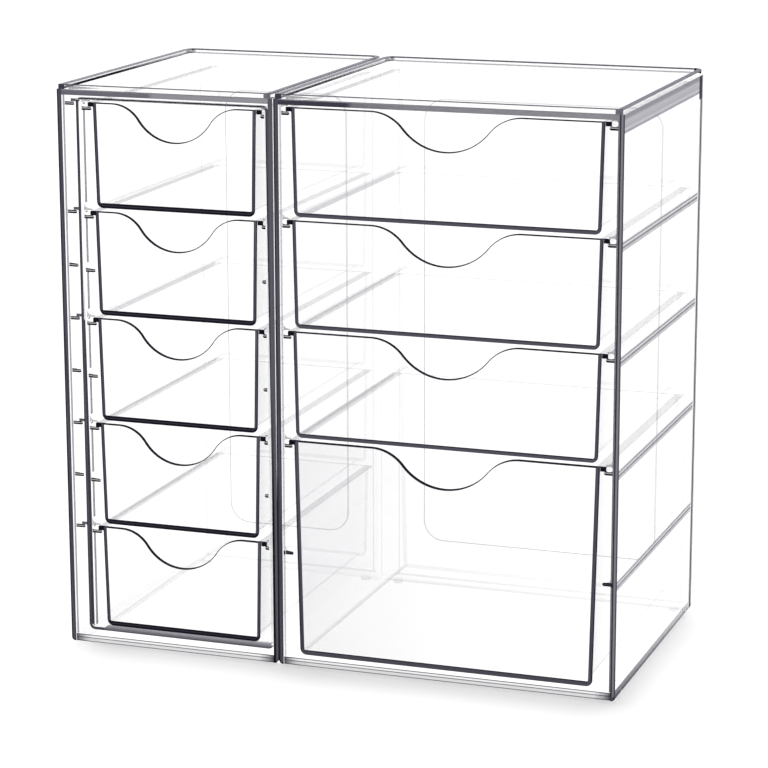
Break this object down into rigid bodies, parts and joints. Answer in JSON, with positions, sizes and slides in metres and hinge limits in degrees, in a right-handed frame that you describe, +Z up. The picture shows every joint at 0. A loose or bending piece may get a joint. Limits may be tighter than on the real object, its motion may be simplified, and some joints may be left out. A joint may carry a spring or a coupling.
{
  "type": "makeup organizer drawers",
  "caption": "Clear acrylic drawer towers for makeup, a narrow one and a wide one side by side, with scooped sliding drawers on moulded rails.",
  "frame": {"origin": "on the floor, under the middle of the pair", "axes": "+Z up, drawers open towards -Y, +X to the right as seen from the front, with the wide tower on +X"},
  "size_m": [0.3134, 0.177, 0.314],
  "materials": {
    "shell_acrylic": "clear, polished",
    "lid_acrylic": "clear, polished",
    "drawer_acrylic": "clear, polished",
    "feet": "clear soft silicone"
  },
  "bodies": {
    "case": {"narrow_shell": "shell_acrylic", "narrow_lid": "lid_acrylic", "narrow_base": "shell_acrylic", "narrow_feet": "feet", "narrow_carrier": "shell_acrylic", "wide_shell": "shell_acrylic", "wide_lid": "lid_acrylic", "wide_base": "shell_acrylic", "wide_feet": "feet"},
    "narrow_drawer_1_body": {"narrow_drawer_1": "drawer_acrylic"},
    "narrow_drawer_2_body": {"narrow_drawer_2": "drawer_acrylic"},
    "narrow_drawer_3_body": {"narrow_drawer_3": "drawer_acrylic"},
    "narrow_drawer_4_body": {"narrow_drawer_4": "drawer_acrylic"},
    "narrow_drawer_5_body": {"narrow_drawer_5": "drawer_acrylic"},
    "wide_drawer_1_body": {"wide_drawer_1": "drawer_acrylic"},
    "wide_drawer_2_body": {"wide_drawer_2": "drawer_acrylic"},
    "wide_drawer_3_body": {"wide_drawer_3": "drawer_acrylic"},
    "wide_deep_drawer_body": {"wide_deep_drawer": "drawer_acrylic"}
  },
  "joints": [
    {"name": "narrow_drawer_1_slide", "type": "slide", "parent": "case", "child": "narrow_drawer_1_body", "axis": [0, -1, 0], "range_m": [0, 0.125]},
    {"name": "narrow_drawer_2_slide", "type": "slide", "parent": "case", "child": "narrow_drawer_2_body", "axis": [0, -1, 0], "range_m": [0, 0.125]},
    {"name": "narrow_drawer_3_slide", "type": "slide", "parent": "case", "child": "narrow_drawer_3_body", "axis": [0, -1, 0], "range_m": [0, 0.125]},
    {"name": "narrow_drawer_4_slide", "type": "slide", "parent": "case", "child": "narrow_drawer_4_body", "axis": [0, -1, 0], "range_m": [0, 0.125]},
    {"name": "narrow_drawer_5_slide", "type": "slide", "parent": "case", "child": "narrow_drawer_5_body", "axis": [0, -1, 0], "range_m": [0, 0.125]},
    {"name": "wide_drawer_1_slide", "type": "slide", "parent": "case", "child": "wide_drawer_1_body", "axis": [0, -1, 0], "range_m": [0, 0.125]},
    {"name": "wide_drawer_2_slide", "type": "slide", "parent": "case", "child": "wide_drawer_2_body", "axis": [0, -1, 0], "range_m": [0, 0.125]},
    {"name": "wide_drawer_3_slide", "type": "slide", "parent": "case", "child": "wide_drawer_3_body", "axis": [0, -1, 0], "range_m": [0, 0.125]},
    {"name": "wide_deep_drawer_slide", "type": "slide", "parent": "case", "child": "wide_deep_drawer_body", "axis": [0, -1, 0], "range_m": [0, 0.125]}
  ]
}
